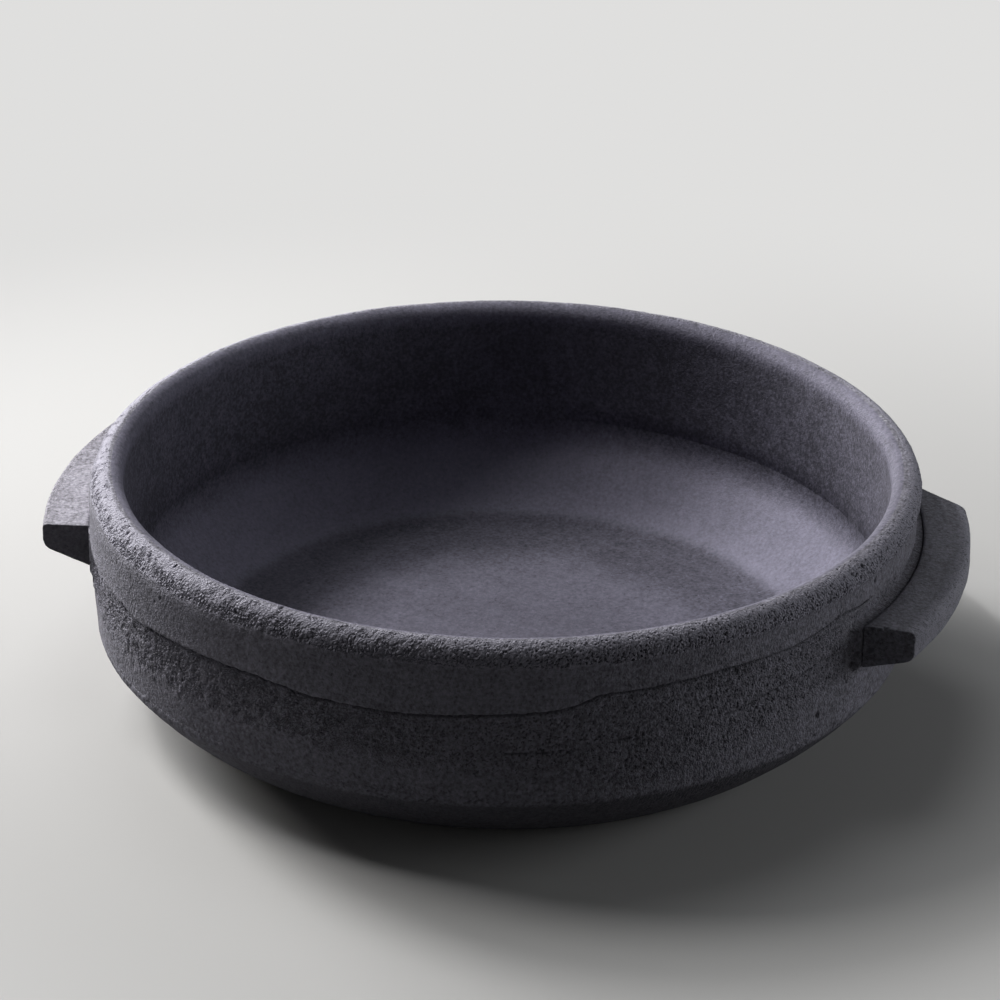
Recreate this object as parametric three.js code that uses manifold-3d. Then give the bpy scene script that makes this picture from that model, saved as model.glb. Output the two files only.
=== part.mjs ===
// Earthenware stew pot with two solid lug handles, in millimetres, +Z up, standing on z = 0.
// A fired pot is one ceramic body. It is built here as the potter joins it: a floor slab, a
// sloped base ring, a lower wall, an upper wall, a rolled rim, two lugs and the luting clay
// that bonds each lug.
// The lugs lie along X, and -Y is the pot's front.

import * as THREE from 'three';
import { mergeVertices } from 'three/addons/utils/BufferGeometryUtils.js';
import Module from 'manifold-3d';

// Whole pot
const potHeight = 65;
const bandRadius = 111.1;       // outside of the smooth upper band
const wallThickness = 8.2;      // at the band
const wallLean = 0.9;           // the inner wall is this much narrower at its foot
const joint = 0.3;              // slip layer left open between two clay pieces

// Floor and foot
const floorThickness = 7;
const footInset = 24.1;         // foot edge, in from the band
const footRound = 1.5;
const slabInset = 9;            // slab edge, in from where the inner slope starts
const slabBevel = 4;            // the slab is this much wider below than above

// Inner slope between the floor and the wall
const slopeRise = 16.7;
const slopeRun = 19;
const slopeFootSoftness = 8;
const slopeHeadSoftness = 5;

// Outside of the base ring and the lower wall
const arrisHeight = 20.2;       // edge where the underside starts
const arrisInset = 1.2;
const arrisSoftness = 1.5;
const underBulge = 2.6;         // how far the underside's middle stands out
const seatRise = 2.3;           // the lower wall is seated this far above the arris outside
const seatInnerRise = 6;        // and this far above the head of the slope inside
const bellyHeight = 30;
const bellySoftness = 4;
const stepDepth = 0.6;          // the band stands this proud of the belly

// Joint lines, down from the top of the rim
const stepDrop = 17;            // lower edge of the smooth band
const lapRise = 6;              // the lap joint climbs this far towards the inside
const rimDrop = 5.4;            // lower border of the scraped rim
const rimJointFall = 2;         // the rim joint falls this far towards the inside
const rimInnerRound = 3.5;

// Both lugs
const lugReach = 13.7;          // out from the band
const lugDrop = 16.7;           // flat top, down from the top of the rim
const lugRootThickness = 12.2;
const lugBackHalf = 36.5;       // outer back corner, from the lug's middle
const lugBackTaper = 34;        // degrees that the back end closes
const lugTopRound = 1.2;
const lugBottomRound = 2;

// What differs between the two hand-made lugs: side is the side of the pot along X, and
// frontFlare is how many degrees the front end opens outwards.
const lugShapes = {
  right_lug: { side: 1, edgeThickness: 8.4, frontHalf: 39.9, frontFlare: 0 },
  left_lug: { side: -1, edgeThickness: 6.6, frontHalf: 42, frontFlare: 12 },
};

// Luting clay under each lug
const clayThickness = 1.1;
const clayMargin = 3.4;         // smeared strip left showing round the lug

// Fineness of the faceted surfaces
const turnSteps = 72;
const curveSteps = 4;

// Radii and heights that follow from the sizes above
const innerRadius = bandRadius - wallThickness;
const wallFootRadius = innerRadius - wallLean;
const wallFootHeight = floorThickness + slopeRise;
const floorRadius = wallFootRadius - slopeRun;
const slabRadius = floorRadius - slabInset;
const slabFootRadius = slabRadius + slabBevel;
const footRadius = bandRadius - footInset;
const arrisRadius = bandRadius - arrisInset;
const bellyRadius = bandRadius - stepDepth;
const seatHeight = arrisHeight + seatRise;
const seatInnerHeight = wallFootHeight + seatInnerRise;
const stepHeight = potHeight - stepDrop;
const lapHeight = stepHeight + lapRise;
const rimHeight = potHeight - rimDrop;
const rimJointHeight = rimHeight - rimJointFall;
const crestRadius = innerRadius + rimInnerRound;
const clayRadius = bellyRadius + joint;
const lugRootRadius = clayRadius + clayThickness + joint;
const lugEdgeRadius = bandRadius + lugReach;
const lugTop = potHeight - lugDrop;
const lugRootHeight = lugTop - lugRootThickness;

const wasm = await Module();
wasm.setup();

function innerWallRadius(height) {
  const climb = (height - wallFootHeight) / (rimJointHeight - wallFootHeight);
  return wallFootRadius + wallLean * climb;
}

// Points of a closed outline through corners [radius, height, softness]. A soft corner is a
// curve that leaves its two sides at that distance from the corner.
function softOutline(corners) {
  const points = [];
  corners.forEach(([x, y, softness], index) => {
    const corner = new THREE.Vector2(x, y);
    if (!softness) {
      points.push(corner);
      return;
    }
    const before = corners[(index + corners.length - 1) % corners.length];
    const after = corners[(index + 1) % corners.length];
    const start = towards(corner, before, softness);
    const end = towards(corner, after, softness);
    points.push(...new THREE.QuadraticBezierCurve(start, corner, end).getPoints(curveSteps));
  });
  return points;
}

function towards(corner, [x, y], distance) {
  const way = new THREE.Vector2(x, y).sub(corner).normalize();
  return corner.clone().addScaledVector(way, distance);
}

// Corners along the quarter of an ellipse that starts at an angle in degrees.
function quarterRound(centreX, centreY, radiusX, radiusY, startDegrees) {
  const start = THREE.MathUtils.degToRad(startDegrees);
  const arc = new THREE.EllipseCurve(centreX, centreY, radiusX, radiusY, start, start + Math.PI / 2);
  return arc.getPoints(2 * curveSteps).map((point) => [point.x, point.y]);
}

// Turns an outline of [radius, height] points about the pot's axis.
function turned(outline) {
  const geometry = new THREE.LatheGeometry(outline, turnSteps);
  return geometry.rotateX(Math.PI / 2);
}

function turnedRing(corners) {
  const outline = softOutline(corners);
  return turned([...outline, outline[0]]);
}

function toManifold(geometry) {
  const bare = geometry.clone();
  bare.deleteAttribute('normal');
  bare.deleteAttribute('uv');
  const merged = mergeVertices(bare, 1e-4);
  return new wasm.Manifold(new wasm.Mesh({
    numProp: 3,
    vertProperties: new Float32Array(merged.attributes.position.array),
    triVerts: new Uint32Array(merged.index.array),
  }));
}

function toGeometry(manifold) {
  const mesh = manifold.getMesh();
  const geometry = new THREE.BufferGeometry();
  geometry.setAttribute('position', new THREE.BufferAttribute(mesh.vertProperties, 3));
  geometry.setIndex(new THREE.BufferAttribute(mesh.triVerts, 1));
  geometry.computeVertexNormals();
  return geometry;
}

function makeFloorSlab() {
  const outline = [
    new THREE.Vector2(0, 0),
    new THREE.Vector2(slabFootRadius, 0),
    new THREE.Vector2(slabRadius, floorThickness),
    new THREE.Vector2(0, floorThickness),
  ];
  return turned(outline);
}

function makeBaseRing() {
  const foot = new THREE.Vector2(footRadius, 0);
  const arris = new THREE.Vector2(arrisRadius, arrisHeight);
  const chord = arris.clone().sub(foot);
  const outwards = new THREE.Vector2(chord.y, -chord.x).normalize();
  const bulge = foot.clone().addScaledVector(chord, 0.5).addScaledVector(outwards, underBulge);
  const bulgeSoftness = 0.4 * chord.length();
  return turnedRing([
    [slabFootRadius + joint, 0],
    [footRadius, 0, footRound],
    [bulge.x, bulge.y, bulgeSoftness],
    [arrisRadius, arrisHeight, arrisSoftness],
    [arrisRadius, seatHeight],
    [innerWallRadius(seatInnerHeight), seatInnerHeight],
    [wallFootRadius, wallFootHeight, slopeHeadSoftness],
    [floorRadius, floorThickness, slopeFootSoftness],
    [slabRadius + joint, floorThickness],
  ]);
}

function makeLowerWall() {
  return turnedRing([
    [arrisRadius, seatHeight + joint],
    [bellyRadius, bellyHeight, bellySoftness],
    [bellyRadius, stepHeight - joint],
    [innerWallRadius(lapHeight - joint), lapHeight - joint],
    [innerWallRadius(seatInnerHeight + joint), seatInnerHeight + joint],
  ]);
}

function makeUpperWall() {
  return turnedRing([
    [bellyRadius, stepHeight],
    [bandRadius, stepHeight],
    [bandRadius, rimHeight - joint],
    [innerWallRadius(rimJointHeight - joint), rimJointHeight - joint],
    [innerWallRadius(lapHeight), lapHeight],
  ]);
}

function makeRimCoil() {
  const outerSide = quarterRound(crestRadius, rimHeight, bandRadius - crestRadius, rimDrop, 0);
  const innerSide = quarterRound(crestRadius, potHeight - rimInnerRound, rimInnerRound, rimInnerRound, 90);
  return turnedRing([
    ...outerSide,
    ...innerSide.slice(1),
    [innerRadius, rimJointHeight],
  ]);
}

// One end of a lug in plan, as the two ends of its cutting line. across is where the lug's
// outer corner lies along Y, angle is the line's direction in degrees, and the line is moved
// away from the lug's middle by margin.
function lugEndLine(across, angle, margin) {
  const corner = new THREE.Vector2(Math.sqrt(lugEdgeRadius ** 2 - across ** 2), across);
  const along = new THREE.Vector2(1, 0).rotateAround(new THREE.Vector2(), THREE.MathUtils.degToRad(angle));
  const away = new THREE.Vector2(-along.y, along.x).multiplyScalar(Math.sign(across) * margin);
  const reach = 2 * lugReach;
  return [-reach, reach].map((distance) => corner.clone().addScaledVector(along, distance).add(away));
}

// A block that keeps the stretch of a ring between a lug's two ends.
function makeLugSpan({ side, frontHalf, frontFlare }, margin) {
  const [frontInner, frontOuter] = lugEndLine(-frontHalf, -frontFlare, margin);
  const [backInner, backOuter] = lugEndLine(lugBackHalf, -lugBackTaper, margin);
  const plan = [frontInner, frontOuter, backOuter, backInner];
  plan.forEach((point) => { point.x *= side; });
  const block = new THREE.ExtrudeGeometry(new THREE.Shape(plan), { depth: potHeight, bevelEnabled: false });
  return toManifold(block);
}

function makeLug(shape) {
  const ring = toManifold(turnedRing([
    [lugRootRadius, lugRootHeight],
    [lugEdgeRadius, lugTop - shape.edgeThickness, lugBottomRound],
    [lugEdgeRadius, lugTop, lugTopRound],
    [lugRootRadius, lugTop],
  ]));
  return toGeometry(ring.intersect(makeLugSpan(shape, 0)));
}

function makeLugClay(shape) {
  const clayFoot = lugRootHeight - clayMargin;
  const ring = toManifold(turnedRing([
    [clayRadius, clayFoot],
    [clayRadius + clayThickness, clayFoot + clayThickness],
    [clayRadius + clayThickness, stepHeight - joint],
    [clayRadius, stepHeight - joint],
  ]));
  return toGeometry(ring.intersect(makeLugSpan(shape, clayMargin)));
}

const clayColours = {
  inside: 0x3d3d47,
  rough: 0x34353d,
  smooth: 0x393a43,
  lug: 0x3b3c45,
  luting: 0x42434c,
};

function addPiece(group, name, geometry, color) {
  const material = new THREE.MeshStandardMaterial({ color, roughness: 0.82, metalness: 0 });
  const mesh = new THREE.Mesh(geometry, material);
  mesh.name = name;
  group.add(mesh);
}

const group = new THREE.Group();
addPiece(group, 'floor_slab', makeFloorSlab(), clayColours.inside);
addPiece(group, 'base_ring', makeBaseRing(), clayColours.smooth);
addPiece(group, 'lower_wall', makeLowerWall(), clayColours.rough);
addPiece(group, 'upper_wall', makeUpperWall(), clayColours.smooth);
addPiece(group, 'rim_coil', makeRimCoil(), clayColours.rough);
for (const [name, shape] of Object.entries(lugShapes)) {
  addPiece(group, name, makeLug(shape), clayColours.lug);
  addPiece(group, `${name}_clay`, makeLugClay(shape), clayColours.luting);
}

export default group;
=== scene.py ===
# Earthenware stew pot with two solid lug handles: what is seen of it, built round the
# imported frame. Metres, +Z up, lugs along X, front towards -Y. Sizes of clay are in mm.

import math

import bpy
import numpy as np
from mathutils import Matrix, Vector


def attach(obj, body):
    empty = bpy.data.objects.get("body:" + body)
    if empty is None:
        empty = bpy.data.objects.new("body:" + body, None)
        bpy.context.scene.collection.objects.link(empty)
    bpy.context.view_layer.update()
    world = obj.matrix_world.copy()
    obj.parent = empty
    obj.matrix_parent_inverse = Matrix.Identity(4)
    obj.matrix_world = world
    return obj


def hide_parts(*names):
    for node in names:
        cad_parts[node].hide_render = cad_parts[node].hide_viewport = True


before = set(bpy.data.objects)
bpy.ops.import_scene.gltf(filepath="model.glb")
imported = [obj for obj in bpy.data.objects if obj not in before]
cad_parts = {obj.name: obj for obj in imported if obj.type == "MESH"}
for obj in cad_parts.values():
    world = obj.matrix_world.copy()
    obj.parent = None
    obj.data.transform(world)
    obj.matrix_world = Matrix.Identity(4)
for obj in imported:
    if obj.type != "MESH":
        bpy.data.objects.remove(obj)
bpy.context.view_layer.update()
mm = 0.001
print("frame loaded with", len(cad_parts), "clay pieces")


def addObject(name, data):
    made = bpy.data.objects.new(name, data)
    bpy.context.scene.collection.objects.link(made)
    return made


# Camera

camera = {
    "place": (0.2433, -0.9407, 0.5185),
    "aim": (-0.0009, -0.0041, 0.0535),
    "rollDegrees": 0.622,
    "lens": 143.8,
}


def placeCamera(values):
    data = bpy.data.cameras.new("potCamera")
    data.lens = values["lens"]
    data.sensor_width = 36
    data.clip_start = 0.01
    made = addObject("potCamera", data)
    place = Vector(values["place"])
    facing = (Vector(values["aim"]) - place).to_track_quat("-Z", "Y").to_matrix().to_4x4()
    roll = Matrix.Rotation(math.radians(values["rollDegrees"]), 4, "Z")
    made.matrix_world = Matrix.Translation(place) @ facing @ roll
    bpy.context.scene.camera = made


placeCamera(camera)
print("camera placed")


# Node trees

def operator(operation):
    # The plain and the reflected form, so that both mask - 1 and 1 - mask work.
    def plain(self, value):
        return self.maths(operation, self, value)

    def reflected(self, value):
        return self.maths(operation, value, self)

    return plain, reflected


class Wire:
    # An output of a node: sums on it add Math nodes to its tree.

    def __init__(self, tree, socket=None):
        self.tree = tree
        self.socket = socket

    def node(self, kind, settings=None, sockets=None, output=0):
        made = self.tree.nodes.new(kind)
        for name, value in (settings or {}).items():
            if name == "points":
                curve = made.mapping.curves[0]
                while len(curve.points) < len(value):
                    curve.points.new(1, 1)
                for point, (x, y) in zip(curve.points, value):
                    point.location = (x, y)
                    point.handle_type = "VECTOR"
                made.mapping.update()
            else:
                setattr(made, name, value)
        self.feed(made, sockets or {})
        return Wire(self.tree, made.outputs[output] if len(made.outputs) else None)

    def feed(self, made, sockets):
        for name, value in sockets.items():
            if isinstance(value, Wire):
                self.tree.links.new(value.socket, made.inputs[name])
            else:
                made.inputs[name].default_value = value

    def other(self, output):
        return Wire(self.tree, self.socket.node.outputs[output])

    def maths(self, operation, *values):
        sockets = dict(enumerate(values))
        return self.node("ShaderNodeMath", {"operation": operation}, sockets)

    __add__, __radd__ = operator("ADD")
    __sub__, __rsub__ = operator("SUBTRACT")
    __mul__, __rmul__ = operator("MULTIPLY")
    __truediv__, __rtruediv__ = operator("DIVIDE")


def fade(value, start, end, low=0, high=1):
    # Goes smoothly from low to high while value goes from start to end.
    sockets = {"Value": value, "From Min": start, "From Max": end,
               "To Min": low, "To Max": high}
    return value.node("ShaderNodeMapRange", {"interpolation_type": "SMOOTHSTEP"}, sockets)


def larger(value, *others):
    for other in others:
        value = value.maths("MAXIMUM", value, other)
    return value


def distance(x, y):
    return x.maths("SQRT", x * x + y * y)


def mixed(share, one, two):
    # A colour that goes from one to two while share goes from 0 to 1.
    return share.node("ShaderNodeMix", {"data_type": "RGBA"}, {0: share, 6: one, 7: two}, 2)


def within(value, start, full, fading, end):
    # Rises from 0 to 1 between start and full, and falls again between fading and end.
    return fade(value, start, full) * (1 - fade(value, fading, end))


def between(value, low, high, soft):
    return within(value, low - soft, low + soft, high - soft, high + soft)


def grain(place, size, seed=0, detail=2.0, distortion=0.0, roughness=0.5):
    # Noise about 0.5 whose lumps are size across; place is in mm.
    sockets = {"Vector": place, "W": float(seed), "Scale": 1 / size, "Detail": detail,
               "Roughness": roughness, "Distortion": distortion}
    return place.node("ShaderNodeTexNoise", {"noise_dimensions": "4D"}, sockets)


def vectorMaths(operation, one, two=None, scale=None):
    sockets = {0: one}
    if two is not None:
        sockets[1] = two
    if scale is not None:
        sockets["Scale"] = scale
    return one.node("ShaderNodeVectorMath", {"operation": operation}, sockets)


def parts(vector):
    split = vector.node("ShaderNodeSeparateXYZ", None, {"Vector": vector})
    return split, split.other("Y"), split.other("Z")


def joined(x, y, z):
    source = next(value for value in (x, y, z) if isinstance(value, Wire))
    return source.node("ShaderNodeCombineXYZ", None, {"X": x, "Y": y, "Z": z})


def heightRound(turn, heights):
    # A height in mm that changes round the pot; turn goes from 0 to 1 over -180 to 180 degrees.
    points = [((degrees + 180) / 360, height / 100) for degrees, height in heights]
    return turn.node("ShaderNodeFloatCurve", {"points": points}, {"Value": turn}) * 100


def wrapped(angle, across, radius, climb):
    # Place in mm for a pattern that runs round the pot, moved across mm round it.
    leant = angle + across / radius
    return joined(leant.maths("COSINE", leant) * radius, leant.maths("SINE", leant) * radius, climb)


def lumps(place, size, seed):
    # Irregular lumps, size across each: how far a point is from their borders, 0 on a border.
    sockets = {"Vector": place, "W": float(seed), "Scale": 1 / size, "Detail": 1.0}
    bend = place.node("ShaderNodeTexNoise", {"noise_dimensions": "4D"}, sockets, 1)
    bend = vectorMaths("SCALE", vectorMaths("SUBTRACT", bend, (0.5, 0.5, 0.5)), scale=size)
    moved = vectorMaths("ADD", vectorMaths("ADD", place, bend), (seed * 3.1, 0, 0))
    sockets = {"Vector": moved, "Scale": 1 / size}
    return place.node("ShaderNodeTexVoronoi", {"feature": "DISTANCE_TO_EDGE"}, sockets)


tornSkin = {
    "leathery": (40, -40),
    "lumpSize": 1.8,
    "patchSize": 4,
    "dotSize": 1.15,
    # noise over which each kind of opening starts, and how much the amount takes off it
    "gap": (0.66, 0.24, 0.06),
    "hole": (0.76, 0.135, 0.03),
    "dot": (0.69, 0.13, 0.03),
}


def opening(noise, kind, amount):
    limit, taken, soft = tornSkin[kind]
    limit = limit - amount * taken
    return fade(noise, limit, limit + soft)


def torn(drawn, width, seed, amount, narrow):
    # Leathery skin of the clay: how far it is open, in the gaps between its lumps and in torn
    # holes, and how high its lumps stand. A gap is narrow wide on each side, in parts of a lump.
    # The right of the pot has fewer gaps, and holes that are more like dots.
    leathery = fade(parts(drawn)[0], *tornSkin["leathery"], 0.1, 1)
    border = lumps(vectorMaths("MULTIPLY", drawn, (1, 1, 1.5)), width * tornSkin["lumpSize"], seed)
    patches = grain(drawn, width * tornSkin["patchSize"], seed + 1, 2)
    gap = fade(border, narrow, narrow * 0.3) * opening(patches, "gap", amount) * leathery
    hole = opening(grain(drawn, width, seed + 2, 1, 0.6), "hole", amount) * (0.3 + leathery * 0.7)
    dotted = vectorMaths("MULTIPLY", drawn, (1, 1, 1.6))
    dots = grain(dotted, width * tornSkin["dotSize"], seed + 4, 1)
    dot = opening(dots, "dot", amount) * (1 - leathery * 0.75)
    height = fade(border, 0, 0.35) * amount
    return larger(gap, hole, dot) * fade(amount, 0.02, 0.3), height


def gouges(drawn, climb, scraped, width, narrow):
    # Marks of the scraping tool, densest at the lower border of the rim.
    return torn(drawn, width, 11, scraped * fade(climb, 61, 66, 1.0, 0.5), narrow)


def wrinkles(drawn, rough, width, narrow):
    return torn(drawn, width, 21, rough, narrow)


# Clay materials

# Where painted shade (under the pot, on the inner wall, at the edge of the floor, in dents) and
# painted light (on the slope inside, on the left skin) change the tone: heights in mm, and a radius
# and a place along X
paint = {
    "under": (18.6, 20.6),
    "underShade": 0.16,
    "wallShade": (23, 31, 58, 63),
    "wallShadeDark": 0.36,
    "slope": (7.6, 9.5, 20, 25),
    "slopePaintedLight": 0.29,
    "floorEdge": (7.4, 8.6),
    "floorEdgeRadius": (48, 64),
    "floorEdgeShade": 0.24,
    "leftSkinLight": (-20, -90),
    "paintedShadeTone": 0.2,
    "darkTone": 0.3,
    "paleTone": 1.7,
}


def readMark(bench, name):
    return bench.node("ShaderNodeAttribute", {"attribute_name": name}, output="Vector")


def makeClay(name, finish):
    # Fired clay: cloudy tone, fine grit, wiping marks, and painted shade where the relief has
    # dents, with more painted shade and light laid over parts of the tone.
    made = bpy.data.materials.new(name)
    made.use_nodes = True
    bench = Wire(made.node_tree)
    shader = made.node_tree.nodes["Principled BSDF"]
    place = vectorMaths("SCALE", bench.node("ShaderNodeTexCoord", output="Object"), scale=1 / mm)
    drawn = readMark(bench, "drawn")
    side, climb, bare = parts(readMark(bench, "shown"))
    scraped, rough, wearAndShade = parts(readMark(bench, "worked"))
    outside = fade(side, -0.3, 0.3)

    gouge, scrapedLump = gouges(drawn, climb, scraped, finish["gougeWidth"], finish["gap"])
    wrinkle, roughLump = wrinkles(drawn, rough, finish["wrinkleWidth"], finish["gap"])
    x, y, height = parts(place)
    # painted shade on the underside, below the arris
    under = outside * (1 - fade(height, *paint["under"]))
    dents = larger(gouge, wrinkle, wearAndShade)
    # painted shade: pits, cracks, gaps, dents and the crevice under the step are darker, less so
    # towards the left lug, and so is the underside except towards the far left
    paintedShade = dents * fade(x, -50, 5, 0.6, 1) * finish["dentShade"]
    paintedShade = larger(paintedShade, under * fade(x, -90, -20) * 0.6)
    cloud = grain(place, 17, 61, 3) - 0.5
    mottle = grain(place, 3.2, 62, 3, 0, 0.6) - 0.5
    grit = grain(place, 0.95, 63, 2, 0, 0.55) - 0.5
    sand = grain(place, 0.5, 64, 1) - 0.5
    strokes = grain(vectorMaths("MULTIPLY", drawn, (1, 1, 0.3)), 0.5, 65, 2) - 0.5
    wiped = strokes * outside
    specks = fade(grain(place, 0.7, 66, 1), 0.7, 0.76) * 0.35
    specks = specks - fade(grain(place, 0.85, 67, 1), 0.64, 0.7) * (0.2 + outside * 0.1)
    # the scraped skin is paler, partly as painted light, and less pale towards the right as painted
    # shade
    scrapedLighter = finish["scrapedPaleAndLit"] - fade(x, -40, 60) * finish["scrapedRightShade"]
    inwards = 1 - outside
    # painted shade on the inner wall and at the edge of the floor, and painted light on the slope
    # inside
    wallShade = inwards * within(height, *paint["wallShade"])
    slope = inwards * within(height, *paint["slope"])
    floorEdge = inwards * fade(distance(x, y), *paint["floorEdgeRadius"])
    floorEdge = floorEdge * (1 - fade(height, *paint["floorEdge"]))
    patchy = (cloud * finish["cloud"] + mottle * finish["mottle"]) * (0.8 + outside * 0.2)
    tone = (0.5 + patchy + grit * finish["grit"] * (0.55 + outside * 0.45)
            + wiped * finish["strokes"] + specks * (0.8 + outside * 0.2) + scraped * scrapedLighter
            + slope * paint["slopePaintedLight"] - wallShade * paint["wallShadeDark"]
            - floorEdge * paint["floorEdgeShade"] - under * paint["underShade"])
    inside = [channel * ratio for channel, ratio in zip(finish["tone"], finish["insideTint"])]

    def shades(share):
        outer = [channel * share for channel in finish["tone"]]
        inner = [channel * share for channel in inside]
        return mixed(outside, (*inner, 1), (*outer, 1))

    colour = mixed(tone, shades(paint["darkTone"]), shades(paint["paleTone"]))
    # painted light: the scraped and rough skin is paler towards the left
    leftSkinLight = larger(scraped, rough) * fade(x, *paint["leftSkinLight"])
    colour = vectorMaths("SCALE", colour, scale=1 + leftSkinLight * finish["leftPaintedLight"])
    colour = mixed(paintedShade, colour, shades(paint["paintedShadeTone"]))
    colour = mixed(bare, colour, (*finish["bare"], 1))
    rubbed = finish["roughness"] + grit * 0.3 + dents * 0.1
    fine = grit * finish["gritHeight"] + sand * finish["sandHeight"]
    relief = (fine * (0.45 + outside * 0.55) + mottle * 0.15 + wiped * finish["strokeHeight"]
              + (scrapedLump + roughLump) * finish["lumpHeight"] - dents * finish["dentHeight"])
    bumped = bench.node("ShaderNodeBump", None, {"Height": relief, "Distance": mm, "Strength": 1.0})
    bench.feed(shader, {"Base Color": colour, "Roughness": rubbed, "Normal": bumped})
    shader.inputs["Specular IOR Level"].default_value = finish["sheen"]
    return made


clayFinish = {
    "tone": (0.166, 0.162, 0.192),
    "insideTint": (0.86, 0.85, 0.93),
    "bare": (0.5, 0.5, 0.53),
    "cloud": 0.45,
    "mottle": 0.5,
    "grit": 1.7,
    "strokes": 0.4,
    "dentShade": 0.9,
    "scrapedPaleAndLit": 0.75,
    "scrapedRightShade": 0.1,
    "leftPaintedLight": 0.3,
    "roughness": 0.78,
    "gritHeight": 0.34,
    "sandHeight": 0.34,
    "strokeHeight": 0.2,
    "lumpHeight": 0.22,
    "dentHeight": 0.14,
    "gap": 0.11,
    "sheen": 0.18,
    "gougeWidth": 0.45,
    "wrinkleWidth": 0.45,
}


# Trees that press the relief into a piece

def newTree(name, source, sizes):
    # source names the geometry that goes in, and sizes gives each other input its value.
    tree = bpy.data.node_groups.new(name, "GeometryNodeTree")
    tree.is_modifier = True
    for title, kind in ((source, "Geometry"), ("Clay", "Material")):
        tree.interface.new_socket(title, in_out="INPUT", socket_type="NodeSocket" + kind)
    for title, value in sizes.items():
        kind = "NodeSocketInt" if isinstance(value, int) else "NodeSocketFloat"
        tree.interface.new_socket(title, in_out="INPUT", socket_type=kind).default_value = value
    tree.interface.new_socket("Clay", in_out="OUTPUT", socket_type="NodeSocketGeometry")
    return tree


def endTree(clay, material):
    smooth = clay.node("GeometryNodeSetShadeSmooth", None, {"Geometry": clay})
    whole = smooth.node("GeometryNodeRealizeInstances", None, {"Geometry": smooth})
    painted = whole.node("GeometryNodeSetMaterial", None, {"Geometry": whole, "Material": material})
    painted.node("NodeGroupOutput", None, {"Clay": painted})


def applyTree(piece, tree, values):
    modifier = piece.modifiers.new("clay", "NODES")
    modifier.node_group = tree
    for item in tree.interface.items_tree:
        if item.item_type == "SOCKET" and item.in_out == "INPUT" and item.name in values:
            modifier[item.identifier] = values[item.name]
    bpy.context.view_layer.update()
    evaluated = piece.evaluated_get(bpy.context.evaluated_depsgraph_get())
    mesh = bpy.data.meshes.new_from_object(evaluated)
    piece.modifiers.remove(modifier)
    piece.data = mesh
    mesh.name = piece.name
    mesh.set_sharp_from_angle(angle=math.radians(46))


def readNamed(bench, kind, name):
    return bench.node("GeometryNodeInputNamedAttribute", {"data_type": kind}, {"Name": name})


def storeNamed(clay, name, value):
    settings = {"data_type": "FLOAT_VECTOR", "domain": "POINT"}
    sockets = {"Geometry": clay, "Name": name, "Value": value}
    return clay.node("GeometryNodeStoreNamedAttribute", settings, sockets)


def handPiece(piece, node):
    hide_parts(node)
    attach(piece, "root")
    print(piece.name, len(piece.data.polygons), "faces in place of", node)


# Outline of the bowl

bowl = {
    "bandRadius": 111.1,
    "bellyRadius": 110.5,
    "arris": (109.9, 20.2),
    "seat": 22.5,
    "bellyHeight": 30,
    "step": 48,
    "rimBorder": 59.6,
    "crest": (106.4, 65),
    "innerRound": 3.5,
    "rimJoint": 57.6,
    "lapJoint": 54,
    "seatJoint": 29.7,
    "wallFoot": (102.0, 23.7),
    "innerLean": 0.9,
    "jointInset": 0.6,
    "floorEdge": (83, 7),
    "slabRadius": 74,
    "slabFoot": 78,
    "footRadius": 87,
    "footRound": 1.5,
}


def lengthAlong(path):
    steps = np.linalg.norm(np.diff(path, axis=0), axis=1)
    return np.concatenate([[0], np.cumsum(steps)])


def evenly(dense, spacing):
    far = lengthAlong(dense)
    wanted = np.linspace(0, far[-1], max(2, round(far[-1] / spacing) + 1))
    return np.stack([np.interp(wanted, far, values) for values in dense.T], 1)


def softPath(corners, spacing):
    # Points along straight stretches with soft corners (r, z, softness), spacing apart.
    dense = []
    for index, corner in enumerate(corners):
        place = np.array(corner[:2], float)
        softness = corner[2] if len(corner) > 2 else 0
        if not softness:
            dense.append(place)
            continue
        ends = []
        for neighbour in (corners[index - 1], corners[index + 1]):
            way = np.array(neighbour[:2], float) - place
            ends.append(place + way / np.linalg.norm(way) * softness)
        start, end = ends
        for t in np.linspace(0, 1, 25):
            dense.append(start * (1 - t) ** 2 + place * 2 * t * (1 - t) + end * t ** 2)
    return evenly(np.array(dense), spacing)


def quarterPath(centre, radii, start, spacing):
    angles = np.radians(np.linspace(start, start + 90, 60))
    unit = np.stack([np.cos(angles), np.sin(angles)], 1)
    return evenly(np.array(centre) + unit * radii, spacing)


def innerPoint(joint):
    # Where a joint meets the inner wall, which leans in towards its foot.
    (radius, low), high, height = bowl["wallFoot"], bowl["rimJoint"], bowl[joint]
    return radius + bowl["innerLean"] * (height - low) / (high - low), height


def jointFace(start, end, dip):
    # A joint face between two clay pieces, moved by dip towards the clay on its left.
    start, end = np.array(start, float), np.array(end, float)
    way = (end - start) / np.linalg.norm(end - start)
    back, inset = np.array([-way[1], way[0]]) * dip, way * bowl["jointInset"]
    return np.array([start + inset + back, end - inset + back])


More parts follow.
